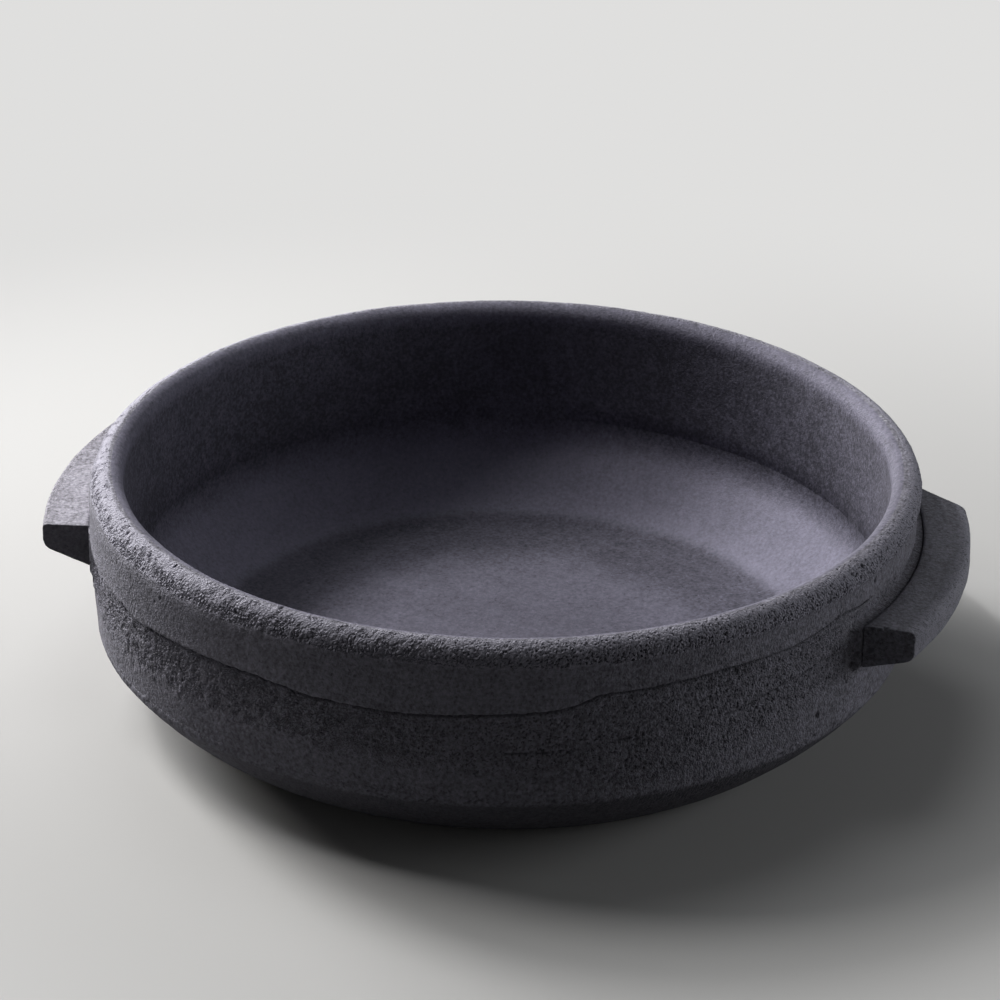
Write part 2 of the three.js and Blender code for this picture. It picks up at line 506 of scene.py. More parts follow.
class Section:
    # Closed outline of a turned piece: its points, the way each faces, and what it is part of.

    def __init__(self):
        self.points, self.faces, self.marks = [], [], []

    def skin(self, path, side, climbs=None, shares=None):
        # side is 1 outside and -1 inside; climbs is how far up each point is, in mm, and
        # shares is how far it follows the step line up and down.
        path = np.asarray(path, float)
        ways = np.gradient(path, axis=0)
        ways /= np.linalg.norm(ways, axis=1)[:, None]
        climbs = path[:, 1] if climbs is None else climbs
        shares = np.zeros(len(path)) if shares is None else shares
        self.points += list(path)
        self.faces += [(way[1], -way[0]) for way in ways]
        self.marks += [(side, climb, share) for climb, share in zip(climbs, shares)]
        return self

    def hidden(self, path, share=0):
        self.points += list(path)
        self.faces += [(0, 0)] * len(path)
        self.marks += [(0, point[1], share) for point in path]
        return self

    def makeObject(self, name):
        points = np.array(self.points) * mm
        mesh = bpy.data.meshes.new(name)
        mesh.from_pydata([(r, 0, z) for r, z in points], [], [])
        faces = [(r, 0, z) for r, z in self.faces]
        for title, rows in (("facing", faces), ("part", self.marks)):
            mark = mesh.attributes.new(title, "FLOAT_VECTOR", "POINT")
            mark.data.foreach_set("vector", np.array(rows, np.float32).ravel())
        return addObject(name, mesh)


# Relief round the pot: rows of (degrees, value), whose values are heights in mm, shares in
# per cent or leans of the strokes, and single dents, cracks and chips

relief = {
    "stepLine": [(-180, 46.5), (-152, 45.6), (-137, 45.4), (-134, 44.2), (-130, 45.2),
                 (-119, 46.6), (-109, 47), (-102, 45.6), (-89, 45.2), (-80, 46.2), (-69, 47.3),
                 (-66.5, 48.5), (-62.8, 51.3), (-58, 51.2), (-45, 52.2), (-34, 51.9), (-25, 54.2),
                 (-18, 53), (0, 50), (40, 49), (90, 47.4), (130, 48.6), (180, 46.5)],
    "roughFoot": [(-180, 30), (-150, 28), (-118, 28), (-103, 29), (-77, 27), (-65, 24), (-58, 22),
                  (-45, 25), (-36, 27), (-30, 30), (-24, 34), (0, 32), (60, 28), (120, 31),
                  (180, 30)],
    "roughShare": [(-180, 85), (-125, 95), (-95, 80), (-65, 75), (-30, 68), (0, 60), (60, 80),
                   (120, 70), (180, 85)],
    "rimShare": [(-180, 80), (-125, 95), (-95, 100), (-65, 100), (-45, 95), (-20, 85), (20, 75),
                 (60, 75), (180, 80)],
    "ridgeLine": [(-180, 39), (-50, 38), (-43.5, 39.2), (-36, 42.1), (-29, 43.2), (-24, 43.4),
                  (0, 41), (180, 39)],
    "rimLean": [(-180, 52), (-130, 50), (-100, 40), (-62, 40), (-40, 62), (0, 80), (30, 60),
                (120, 45), (180, 52)],
    "wallLean": [(-180, 45), (-120, 38), (-75, 50), (-50, 66), (-20, 85), (0, 70), (60, 45),
                 (120, 60), (180, 45)],
    # degrees, climb, half width, how much taller than wide, depth
    "dents": [
        (-137.5, 44.6, 0.45, 3, 0.8), (-28.6, 27.5, 0.75, 1.2, 1), (-25.7, 54.1, 0.4, 1.2, 0.6),
        (-24.6, 44.1, 0.45, 1.5, 0.6), (-127.1, 56.4, 0.32, 1.2, 0.5),
        (-128.4, 54.3, 0.25, 1.2, 0.4), (-151.1, 41.9, 0.35, 1.6, 0.5), (-98, 53, 0.25, 1, 0.3),
        (-58.5, 54.5, 0.28, 1.2, 0.4), (-126.5, 66.1, 0.45, 1.8, 0.6), (-107, 67.2, 0.5, 1.3, 0.6),
        (-139.2, 64.9, 0.4, 2, 0.6), (-131.8, 64.4, 0.38, 1.8, 0.5), (-113, 62.1, 0.6, 1.2, 0.5),
        (-16.2, 57.2, 0.4, 2.2, 0.7), (-19.5, 64.2, 0.4, 1.8, 0.5), (-113.6, 65.8, 0.35, 1.5, 0.5),
        (-44, 50.4, 0.5, 1.2, 0.5), (64, 63, 0.45, 1.6, 0.5), (148, 62.6, 0.4, 1.7, 0.5),
        (101, 38, 0.5, 1.3, 0.6), (31, 29, 0.5, 1.2, 0.6),
    ],
    # from degrees, to degrees, height at each end
    "cracks": [(-74.8, -66.6, 35.3, 35.6), (-61.2, -55.6, 37.6, 36.1), (-43.8, -41.2, 31.2, 32.6),
               (71, 80, 36, 37)],
    # degrees, climb, half width, how much taller than wide
    "chips": [(29.9, 67.7, 0.9, 0.25), (28.2, 67.4, 0.3, 0.7)],
    "raggedSize": 2.4,
    "patchSize": 8,
    "stepWander": 1.3,
    "scrapedFoot": 59.5,
    "scrapedTop": 67.0,
    "ridgeSpan": (-45, 8),
    "ridgeHeight": 0.4,
    "flecks": (-119, -95),
    "arris": (19.6, 22.0),
    "narrow": 0.2,
    "crackDepth": 0.4,
    "lumpHeight": 0.12,
    "leftShift": 1.1,
    "shiftTowards": 194.5,
}


def pressRelief(ring, given):
    bench = Wire(ring.tree)
    placed = vectorMaths("SCALE", bench.node("GeometryNodeInputPosition"), scale=1 / mm)
    x, y, z = parts(placed)
    side, climb, share = parts(readNamed(bench, "FLOAT_VECTOR", "part"))
    outside = fade(side, 0.4, 0.6)
    angle = bench.maths("ARCTAN2", y, x)
    turn = angle / (2 * math.pi) + 0.5
    degreesRound = turn * 360 - 180
    radius, narrow = bowl["bandRadius"], relief["narrow"]
    ragged = grain(placed, relief["raggedSize"], 3, 3) - 0.5
    patchy = grain(placed, relief["patchSize"], 4, 3) - 0.5

    # the step line is ragged, and the rows near it follow it up and down
    wander = grain(wrapped(angle, 0.0, radius, 0.0), relief["raggedSize"], 5, 3) - 0.5
    stepLine = heightRound(turn, relief["stepLine"]) + wander * relief["stepWander"]
    lift = (stepLine - bowl["step"]) * share
    high = z + lift
    climbed = climb + lift

    # strokes of the tool lean a little, and more to the right at the front
    rimLean = (heightRound(turn, relief["rimLean"]) - 60) / 50
    wallLean = (heightRound(turn, relief["wallLean"]) - 60) / 45
    onRim = fade(climbed, 55, 58)
    lean = wallLean + (rimLean - wallLean) * onRim
    drawn = wrapped(angle, (climbed - 56) * lean, radius, climbed * 0.55)

    # scraped rim
    foot = relief["scrapedFoot"] + ragged * 2.2 + patchy * 2.4
    top = relief["scrapedTop"] + ragged * 1.5 + patchy * 2.5
    scraped = within(climbed, foot - 0.5, foot + 0.4, top - 0.4, top + 0.4) * outside
    scraped = scraped * heightRound(turn, relief["rimShare"]) / 100
    gouge, scrapedLump = gouges(drawn, climbed, scraped, given.other("Gouge width"), narrow)
    swell = (grain(drawn, 2.4, 13, 2) - 0.5) * scraped

    # torn skin between the step line and its lower border
    low = heightRound(turn, relief["roughFoot"]) + patchy * 9 + ragged * 2
    rough = within(high, low - 1.5, low + 7, stepLine - 0.3, stepLine + 0.1) * outside
    rough = rough * (heightRound(turn, relief["roughShare"]) / 100 + patchy * 0.5)
    wrinkle, roughLump = wrinkles(drawn, rough, given.other("Wrinkle width"), narrow)
    rumple = (grain(drawn, 3.0, 23, 2) - 0.5) * rough

    # second low ridge at the right, with a groove under its lip that is also painted with shade
    above = high - heightRound(turn, relief["ridgeLine"]) - ragged * 0.8
    ridgeSpan = between(degreesRound, *relief["ridgeSpan"], 4) * outside
    ridge = within(above, -0.2, 0.3, 0.5, 5) * ridgeSpan
    ridgeLipShade = between(above, -0.55, -0.05, 0.2) * ridgeSpan * fade(patchy + ragged, -0.1, 0.05)

    # small pits along the arris, and cracks
    arris = between(z + ragged * 3, *relief["arris"], 0.7) * outside
    flattened = vectorMaths("MULTIPLY", placed, (1, 1, 1.5))
    pitted = fade(grain(flattened, 0.9, 31, 2), 0.57, 0.66) * arris
    beneath = (1 - fade(z, 17, 20.5)) * outside
    pitted = larger(pitted, fade(grain(placed, 1.1, 33, 2), 0.6, 0.68) * beneath * 0.8)
    crack = ridgeLipShade
    for start, end, first, last in relief["cracks"]:
        away = high - fade(degreesRound, start, end, first, last) - ragged * 1.6
        split = fade(bench.maths("ABSOLUTE", away), 0.34, 0.08)
        crack = larger(crack, split * between(degreesRound, start, end, 0.8))

    # painted shade in the crevice under the lip of the step, and pale flecks along the lip
    overStep = high - stepLine - ragged * 0.5
    crevice = between(overStep, -1.0, -0.15, 0.2) * outside * fade(patchy + ragged, -0.3, -0.1)
    lip = between(overStep, 0.05, 0.3, 0.12) * outside * between(degreesRound, *relief["flecks"], 3)
    bare = lip * fade(grain(placed, 0.8, 35, 1), 0.57, 0.64) * 0.7

    # single dents and pale chips
    def spot(degrees, height, width, tall):
        across = bench.maths("WRAP", angle - math.radians(degrees), math.pi, -math.pi) * radius
        up = (climbed - height) / tall
        away = distance(across, up) + ragged * 0.35
        return fade(away, width * 1.3, width * 0.4) * outside

    holes = [(spot(*shape), depth) for *shape, depth in relief["dents"]]
    dent = larger(*[hole for hole, _ in holes])
    dig = larger(*[hole * depth for hole, depth in holes])
    bare = larger(bare, *[spot(*chip) for chip in relief["chips"]])

    deep = fade(x, -50, 5, 0.55, 1)
    press = (swell * given.other("Swell") - gouge * given.other("Gouge depth") * deep
             - wrinkle * given.other("Wrinkle depth") * deep + rumple * 0.5
             + ridge * relief["ridgeHeight"] + (scrapedLump + roughLump) * relief["lumpHeight"]
             - pitted * given.other("Pit depth") - crack * relief["crackDepth"] * outside - dig)
    press = press + (grain(placed, 11, 41, 2) - 0.5) * 0.35
    press = press + (grain(placed, 3.5, 42, 2) - 0.5) * 0.1 * outside
    press = press * fade(side * side, 0.2, 0.8) * fade(z, 0, 2.5)

    # the outer wall lies a little to the left of the rim, and the whole pot is not quite round
    outer = larger(outside, fade(distance(x, y), 104, 109))
    shifted = bench.maths("COSINE", angle - math.radians(relief["shiftTowards"])) * outer
    shifted = shifted * fade(z, 61.2, 57.5) * fade(z, 0, 8)

    outwards = readNamed(bench, "FLOAT_VECTOR", "outwards")
    moved = vectorMaths("SCALE", outwards, scale=press * mm)
    lifted = vectorMaths("ADD", moved, joined(0.0, 0.0, lift * mm))
    sway = grain(vectorMaths("MULTIPLY", placed, (1, 1, 0.4)), 45, 51, 1) - 0.5
    sway = sway * given.other("Sway") * fade(z, 2, 20) * mm
    across = sway + shifted * relief["leftShift"] * mm
    cosine, sine = bench.maths("COSINE", angle), bench.maths("SINE", angle)
    swayed = joined(cosine * across, sine * across, sway * 0.5)
    # pits, cracks, dents and the crevice under the step, which the clay darkens as painted shade
    wearAndShade = larger(pitted, crack * outside, dent, crevice * 0.7)
    ring = storeNamed(ring, "drawn", drawn)
    ring = storeNamed(ring, "shown", joined(side, climbed, bare))
    ring = storeNamed(ring, "worked", joined(scraped, rough, wearAndShade))
    offset = vectorMaths("ADD", lifted, swayed)
    return bench.node("GeometryNodeSetPosition", None, {"Geometry": ring, "Offset": offset})


def turningTree():
    # Turns an outline about Z into a closed ring, then presses the clay's relief into it.
    tree = newTree("turnedClay", "Outline", {
        "Columns": 1800, "Rows": 40, "Sway": 0.5, "Swell": 0.35, "Gouge depth": 0.3,
        "Gouge width": 0.52, "Wrinkle depth": 0.3, "Wrinkle width": 0.5, "Pit depth": 0.3})
    bench = Wire(tree)
    given = bench.node("NodeGroupInput")
    columns, rows = given.other("Columns"), given.other("Rows")
    sheet = bench.node("GeometryNodeMeshGrid", None, {
        "Size X": 1.0, "Size Y": 1.0, "Vertices X": columns + 1, "Vertices Y": rows + 1})
    index = bench.node("GeometryNodeInputIndex")
    column = bench.maths("FLOOR", (index + 0.5) / (rows + 1))
    row = index - column * (rows + 1)
    turnedRow = bench.maths("FLOOR", bench.maths("MODULO", row + 0.25, rows))
    angle = column / columns * (2 * math.pi)

    def fromOutline(value):
        settings = {"data_type": "FLOAT_VECTOR", "domain": "POINT"}
        return bench.node("GeometryNodeSampleIndex", settings, {
            "Geometry": given.other("Outline"), "Value": value, "Index": turnedRow})

    radius, _, height = parts(fromOutline(bench.node("GeometryNodeInputPosition")))
    cosine, sine = bench.maths("COSINE", angle), bench.maths("SINE", angle)
    faceOut, _, faceUp = parts(fromOutline(readNamed(bench, "FLOAT_VECTOR", "facing")))
    ring = bench.node("GeometryNodeSetPosition", None, {
        "Geometry": sheet, "Position": joined(radius * cosine, radius * sine, height)})
    ring = storeNamed(ring, "outwards", joined(faceOut * cosine, faceOut * sine, faceUp))
    ring = storeNamed(ring, "part", fromOutline(readNamed(bench, "FLOAT_VECTOR", "part")))
    ring = bench.node("GeometryNodeMergeByDistance", None, {"Geometry": ring, "Distance": 0.00001})
    ring = pressRelief(ring, given)
    endTree(ring, given.other("Clay"))
    return tree


turning = turningTree()


def turnPiece(name, node, section, values):
    piece = section.makeObject(name)
    finish = {**clayFinish, **values["finish"]}
    clay = makeClay(name + "Clay", finish)
    sizes = {"Columns": values["columns"], "Rows": len(section.points), "Clay": clay,
             "Gouge width": finish["gougeWidth"], "Wrinkle width": finish["wrinkleWidth"]}
    applyTree(piece, turning, {**sizes, **values["relief"]})
    handPiece(piece, node)


# Rim: rolled coil, scraped on its outer half

rimCoil = {
    "columns": 2400,
    "outerSpacing": 0.27,
    "innerSpacing": 0.85,
    "relief": {"Gouge depth": 0.34, "Swell": 0.4},
    "finish": {"grit": 1.9},
}


def rimSection(values):
    crestRadius, crestHeight = bowl["crest"]
    band, border, roundness = bowl["bandRadius"], bowl["rimBorder"], bowl["innerRound"]
    radii = (band - crestRadius, crestHeight - border)
    outer = quarterPath((crestRadius, border), radii, 0, values["outerSpacing"])
    innerCentre = (crestRadius, crestHeight - roundness)
    inner = quarterPath(innerCentre, (roundness, roundness), 90, values["innerSpacing"])
    wall = softPath([inner[-1], innerPoint("rimJoint")], 2.4)
    whole = np.concatenate([outer, inner[1:], wall[1:]])
    climbs = border + lengthAlong(whole)
    section = Section()
    section.skin(whole, 1, climbs)
    for index in range(len(outer), len(whole)):
        section.marks[index] = (-1, climbs[index], 0)
    return section.hidden(jointFace(whole[-1], whole[0], -0.05))


turnPiece("rimCoil", "rim_coil", rimSection(rimCoil), rimCoil)


# Upper wall: smooth band that laps over the lower wall and ends in the step line

upperWall = {
    "columns": 1800,
    "spacing": 0.42,
    "lip": [(-0.4, 0), (-0.06, 0.1), (0.12, 0.38), (0.16, 0.75)],
    "relief": {"Gouge depth": 0.34},
    "finish": {"strokes": 0.5, "strokeHeight": 0.18},
}


def upperSection(values):
    band, step, border = bowl["bandRadius"], bowl["step"], bowl["rimBorder"]
    lip = [(band + across, step + up) for across, up in values["lip"]]
    corners = [(band + 0.12, step + 1.15), (band, step + 2.4, 1), (band, border)]
    plain = softPath(corners, values["spacing"])
    outer = np.concatenate([lip, plain])
    shares = np.clip((border - outer[:, 1]) / (border - step), 0, 1)
    section = Section()
    section.skin(outer, 1, outer[:, 1], shares)
    section.faces[0] = (0.3, -0.9)
    section.hidden(jointFace((band, border), innerPoint("rimJoint"), 0.05))
    section.skin(softPath([innerPoint("rimJoint"), innerPoint("lapJoint")], 1.9), -1)
    under = jointFace(innerPoint("lapJoint"), (bowl["bellyRadius"] - 1.6, step), 0.15)
    section.hidden(under[:1])
    return section.hidden([np.array([bowl["bellyRadius"] - 1.4, step])], 1)


turnPiece("upperWall", "upper_wall", upperSection(upperWall), upperWall)


# Lower wall: torn skin below the step line, smoother towards the arris

lowerWall = {
    "columns": 1800,
    "spacing": 0.46,
    "lowSpacing": 0.95,
    "middle": 34,
    "crevice": [(-0.15, -0.6), (-0.5, -0.2), (-0.8, 0.2)],
    "relief": {"Wrinkle depth": 0.34},
    "finish": {"grit": 1.9},
}


def lowerSection(values):
    belly, step, seat, arris = bowl["bellyRadius"], bowl["step"], bowl["seat"], bowl["arris"][0]
    middle = values["middle"]
    corners = [(arris, seat), (belly, bowl["bellyHeight"], 4), (belly, middle)]
    low = softPath(corners, values["lowSpacing"])
    high = softPath([(belly, middle), (belly, step - 1)], values["spacing"])
    crevice = [(belly + across, step + up) for across, up in values["crevice"]]
    outer = np.concatenate([low, high[1:], crevice])
    shares = np.clip((outer[:, 1] - middle) / (step - middle), 0, 1)
    section = Section()
    section.skin(outer, 1, outer[:, 1], shares)
    top = innerPoint("lapJoint")
    section.hidden(jointFace((belly - 2.2, step + 0.2), top, 0.15)[-1:])
    section.skin(softPath([top, innerPoint("seatJoint")], 6), -1)
    return section.hidden(jointFace(innerPoint("seatJoint"), (arris, seat), -0.05))


turnPiece("lowerWall", "lower_wall", lowerSection(lowerWall), lowerWall)


# Base ring: underside from the foot to the arris, and the slope inside

baseRing = {
    "columns": 860,
    "spacing": 0.75,
    "underBulge": 2.6,
    "relief": {"Pit depth": 0.4},
    "finish": {"mottle": 0.45},
}


def baseSection(values):
    foot, arris, seat = bowl["footRadius"], bowl["arris"], bowl["seat"]
    slabEdge, slabFoot = (bowl["slabRadius"], bowl["floorEdge"][1]), (bowl["slabFoot"], 0)
    chord = np.array(arris) - np.array((foot, 0))
    length = np.linalg.norm(chord)
    outwards = np.array([chord[1], -chord[0]]) / length
    bulge = np.array((foot, 0)) + chord * 0.5 + outwards * values["underBulge"]
    corners = [slabFoot, (foot, 0, bowl["footRound"]), (*bulge, 0.4 * length),
               (*arris, 1.5), (arris[0], seat)]
    section = Section()
    section.skin(softPath(corners, values["spacing"]), 1)
    section.hidden(jointFace((arris[0], seat), innerPoint("seatJoint"), -0.05))
    corners = [innerPoint("seatJoint"), (*bowl["wallFoot"], 5), (*bowl["floorEdge"], 8), slabEdge]
    section.skin(softPath(corners, values["spacing"]), -1)
    return section.hidden(jointFace(slabEdge, slabFoot, 0.1))


turnPiece("baseRing", "base_ring", baseSection(baseRing), baseRing)


# Floor slab: flat round slab that the food rests on

floorSlab = {
    "columns": 900,
    "spacing": 1.1,
    "underSpacing": 4.0,
    "relief": {},
    "finish": {},
}


def slabSection(values):
    radius, foot, height = bowl["slabRadius"], bowl["slabFoot"], bowl["floorEdge"][1]
    section = Section()
    section.skin(softPath([(radius, height), (0, height)], values["spacing"]), -1)
    section.skin(softPath([(0, 0), (foot, 0)], values["underSpacing"]), 1)
    return section


turnPiece("floorSlab", "floor_slab", slabSection(floorSlab), floorSlab)


# Lugs and the luting clay that holds them

def pressingTree():
    # Gives a lug or its luting clay hand-made waves, chipped edges, grain and single dents, a paler
    # outer edge, and painted shade on its end faces.
    tree = newTree("pressedClay", "Lump", {
        "Seed": 0.0, "Wave": 0.5, "Chip": 0.35, "Rough": 0.0, "End shade": 0.0, "Grain": 0.12,
        "Grain width": 0.4, "Edge radius": 124.8, "Top": 48.3})
    bench = Wire(tree)
    given = bench.node("NodeGroupInput")
    placed = vectorMaths("SCALE", bench.node("GeometryNodeInputPosition"), scale=1 / mm)
    seeded = vectorMaths("ADD", placed, joined(given.other("Seed"), 0.0, 0.0))
    x, y, z = parts(placed)
    radius = distance(x, y)
    width = bench.maths("ARCTAN2", y, bench.maths("ABSOLUTE", x)) * lugReach
    normal = bench.node("GeometryNodeInputNormal")
    ragged = grain(seeded, 2.2, 71, 3) - 0.5
    drawn = joined(width + z * 0.75 + given.other("Seed"), radius * 0.55, z * 0.5)

    top, edge = given.other("Top"), given.other("Edge radius")
    nearTop = fade(z, top - 2.4, top - 0.6)
    outerFace = fade(radius, edge - 2.2, edge - 0.7)
    endFace = fade(bench.maths("ABSOLUTE", parts(normal)[1]), 0.75, 0.95)
    scraped = fade(radius, edge - 4, edge - 1.2) * (1 - endFace)
    rough = larger(outerFace * (0.3 + ragged), endFace * (0.3 + ragged),
                   given.other("Rough") + ragged * 0.5)
    grained, lump = wrinkles(drawn, rough, given.other("Grain width"), relief["narrow"])
    chipped = fade(grain(seeded, 1.8, 73, 2), 0.56, 0.68) * nearTop * larger(outerFace, endFace)
    wave = (grain(seeded, 15, 74, 1) - 0.5) * given.other("Wave")
    wave = wave + (grain(seeded, 4, 75, 2) - 0.5) * 0.18

    def spot(place, size):
        away = vectorMaths("LENGTH", vectorMaths("SUBTRACT", placed, place)).other("Value")
        return fade(away + ragged * 0.5, size * 1.3, size * 0.5)

    dent = larger(*[spot(place, size) for *place, size in lugDents])
    press = (wave - grained * given.other("Grain") + lump * 0.08
             - chipped * given.other("Chip") - dent * 0.7)
    lump = bench.node("GeometryNodeSetPosition", None, {
        "Geometry": given.other("Lump"), "Offset": vectorMaths("SCALE", normal, scale=press * mm)})
    lump = storeNamed(lump, "drawn", drawn)
    lump = storeNamed(lump, "shown", joined(1.0, z, 0.0))
    # painted shade on the end faces of the lug
    wearAndShade = larger(dent, chipped * 0.4, endFace * given.other("End shade"))
    lump = storeNamed(lump, "worked", joined(scraped * 0.5, rough, wearAndShade))
    endTree(lump, given.other("Clay"))
    return tree


lugReach = 124
# centre and half width of single dents in the lugs and their luting clay
lugDents = [(106.7, -39.9, 41.6, 0.8), (107.2, -39.9, 44.3, 0.5), (110.5, -39.6, 48.2, 0.6),
            (118.8, -39.6, 48.1, 0.7), (103.6, -40.6, 40.6, 0.7), (102.5, -41, 37.6, 0.8),
            (-107, -42, 45, 0.5), (-112, 30, 48.3, 0.5), (-124, 12, 42, 0.6), (124, 20, 43, 0.5),
            (109, 44, 42, 0.6)]
pressing = pressingTree()

lug = {
    "rootRadius": 112.2,
    "edgeRadius": 124.8,
    "top": 48.3,
    "rootBottom": 36.1,
    "bottomRound": 2.4,
    "rootRound": 0.6,
    "endRound": 0.35,
    "back": (36.5, -34),
    "spacing": 0.42,
    "relief": {"Wave": 0.6, "Chip": 0.25},
    "finish": {"gougeWidth": 0.3, "wrinkleWidth": 0.36, "strokes": 0.15, "strokeHeight": 0.05,
               "gritHeight": 0.18, "sandHeight": 0.12, "scrapedRightShade": 0.0, "leftPaintedLight": 0.0,
               "roughness": 0.72},
}

# How the two hand-made lugs differ: front is where the outer front corner lies across from the
# lug's middle, and the angle of the front face. The left lug's much paler tone is painted light and
# its end face gets painted shade; the right lug's paler outer edge is a painted highlight.
rightLug = {
    "hand": 1,
    "edgeThickness": 8.4,
    "topRound": 1.9,
    "front": (-39.9, 0),
    "relief": {"Seed": 0.0, "End shade": 0.0},
    "finish": {"tone": (0.16, 0.158, 0.185), "scrapedPaleAndLit": 1.2},
}
leftLug = {
    "hand": -1,
    "edgeThickness": 6.6,
    "topRound": 1.2,
    "front": (-42, -12),
    "relief": {"Seed": 37.0, "End shade": 1.3},
    "finish": {"tone": (0.28, 0.27, 0.31), "scrapedPaleAndLit": 0.0},
}


def roundPlaces(radius, angle, height):
    return np.stack([radius * np.cos(angle), radius * np.sin(angle), height], -1).reshape(-1, 3)


def closedPiece(name, places, faces, hand):
    # The left hand is a mirror image, so its faces are turned over.
    if hand < 0:
        faces = [face[::-1] for face in faces]
    mesh = bpy.data.meshes.new(name)
    mesh.from_pydata((places * mm).tolist(), [], faces)
    return addObject(name, mesh)


def pressPiece(piece, node, values, shape):
    finish = {**clayFinish, **values["finish"], **shape["finish"]}
    sizes = {"Clay": makeClay(piece.name + "Clay", finish), "Grain width": finish["wrinkleWidth"]}
    applyTree(piece, pressing, {**sizes, **values["relief"], **shape["relief"]})
    handPiece(piece, node)


def endAngle(radius, end, depth, values):
    # Where an arc of this radius meets one end of the lug, depth mm in from its face.
    across, degrees = end
    edge = values["edgeRadius"]
    corner = np.array([math.sqrt(edge ** 2 - across ** 2), across])
    along = np.array([math.cos(math.radians(degrees)), math.sin(math.radians(degrees))])
    corner = corner + np.array([along[1], -along[0]]) * np.sign(across) * depth
    middle = corner @ along
    far = -middle + np.sqrt(middle ** 2 - corner @ corner + radius ** 2)
    return np.arctan2(corner[1] + far * along[1], corner[0] + far * along[0])


def lugRings(values, shape):
    # Cross sections from the middle of the front face to the middle of the back face, as
    # (radius, height, angle) for each point round the section.
    top, edge, root = values["top"], values["edgeRadius"], values["rootRadius"]
    bottom, rootRound = values["rootBottom"], values["rootRound"]
    start = (root, (bottom + top) / 2)
    corners = [start, (root, bottom, rootRound),
               (edge, top - shape["edgeThickness"], values["bottomRound"]),
               (edge, top, shape["topRound"]), (root, top, rootRound), start]
    outline = softPath(corners, values["spacing"])[:-1]
    ways = np.roll(outline, -1, 0) - np.roll(outline, 1, 0)
    outwards = np.stack([ways[:, 1], -ways[:, 0]], 1) / np.linalg.norm(ways, axis=1)[:, None]
    middle = outline.mean(0)
    rounding = values["endRound"]
    face = outline - outwards * rounding
    capped = []
    for share in np.linspace(0.06, 1, 14)[:-1]:
        capped.append((middle + (face - middle) * share, 0))
    for turn in np.radians(np.linspace(0, 90, 5)):
        inset, depth = rounding * (1 - math.sin(turn)), rounding * (1 - math.cos(turn))
        capped.append((outline - outwards * inset, depth))
    rings = []
    for points, depth in capped:
        rings.append((points, endAngle(points[:, 0], shape["front"], depth, values)))
    start, end = rings[-1][1], endAngle(outline[:, 0], values["back"], rounding, values)
    count = round((end - start).max() * edge / values["spacing"])
    for share in np.linspace(0, 1, count)[1:-1]:
        rings.append((outline, start + (end - start) * share))
    for points, depth in capped[::-1]:
        rings.append((points, endAngle(points[:, 0], values["back"], depth, values)))
    return [np.stack([points[:, 0], points[:, 1], angle], 1) for points, angle in rings]


def makeLug(name, node, values, shape):
    rings = np.array(lugRings(values, shape))
    points = np.concatenate([rings.reshape(-1, 3), [rings[0].mean(0), rings[-1].mean(0)]])
    radius, height, angle = points.T
    places = roundPlaces(radius, angle, height) * (shape["hand"], 1, 1)
    ringCount, size = rings.shape[:2]
    faces = []
    for i in range(ringCount - 1):
        for j in range(size):
            one, two = i * size + j, i * size + (j + 1) % size
            faces.append((one, one + size, two + size, two))
    last = (ringCount - 1) * size
    for j in range(size):
        after = (j + 1) % size
        faces.append((len(points) - 2, j, after))
        faces.append((len(points) - 1, last + after, last + j))
    piece = closedPiece(name, places, faces, shape["hand"])
    pressPiece(piece, node, values, shape)


makeLug("rightLug", "right_lug", lug, rightLug)
makeLug("leftLug", "left_lug", lug, leftLug)

lutingClay = {
    "spacing": 0.45,
    "sunk": 0.35,
    "backRadius": 108.6,
    "widthRadius": 111,
    "bottom": 32.2,
    "back": (46.0, 50.5),
    "frontLean": 0.24,
    "layer": 0.3,
    "wallHeights": (20, 30, 49, 54),
    "wallRadii": (109.9, 110.5, 110.5, 111.1),
    "relief": {"Wave": 0.3, "Chip": 0.0, "Rough": 0.35, "Grain": 0.15, "Edge radius": 130.0,
               "Top": 60.0},
    "finish": {"tone": (0.18, 0.176, 0.205), "wrinkleWidth": 0.4, "strokes": 0.5, "dentShade": 0.6},
}
rightLuting = {
    "hand": 1,
    "reach": 111.9,
    "front": (-41.4, -47.2),
    "relief": {"Seed": 11.0},
    "finish": {},
}
leftLuting = {
    "hand": -1,
    "reach": 112.6,
    "front": (-42.9, -46.2),
    "relief": {"Seed": 53.0},
    "finish": {},
}


